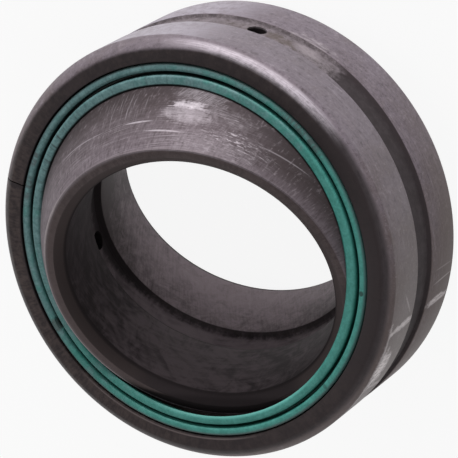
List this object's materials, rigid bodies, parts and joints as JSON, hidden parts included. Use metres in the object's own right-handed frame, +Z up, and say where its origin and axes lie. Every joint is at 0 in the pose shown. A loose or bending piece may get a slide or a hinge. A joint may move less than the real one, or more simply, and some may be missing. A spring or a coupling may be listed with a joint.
{
  "type": "spherical plain bearing",
  "caption": "Radial spherical plain bearing: a ball-faced inner ring that swivels and tilts in a split outer ring, with lip seals at both ends and lubrication grooves and holes.",
  "frame": {"origin": "common centre of the ball surfaces of both rings, where the axes of both rings and the tilt joint cross", "axes": "+Z up from the table the bearing lies on; X in the plane of both ring axes: the outer ring's axis leans 11.03 degrees from +Z towards +X and the bore's axis 6.97 degrees towards -X, so both rims touch the table; Y along the tilt joint"},
  "size_m": [0.0572, 0.055, 0.0296],
  "materials": {
    "outer_steel": "dark phosphated, satin",
    "inner_steel": "dark phosphated, rubbed on the ball surface",
    "seal": "matt teal elastomer, smeared with grease"
  },
  "bodies": {
    "outer": {"outer_ring": "outer_steel"},
    "seals": {"front_seal": "seal", "rear_seal": "seal"},
    "inner": {"inner_ring": "inner_steel"}
  },
  "joints": [
    {"name": "swivel", "type": "hinge", "parent": "outer", "child": "seals", "pos_m": [0, 0, 0], "axis": [0.1913, 0, 0.9815], "continuous": true},
    {"name": "tilt", "type": "hinge", "parent": "seals", "child": "inner", "pos_m": [0, 0, 0], "axis": [0, 1, 0], "range_deg": [0, 36]}
  ]
}
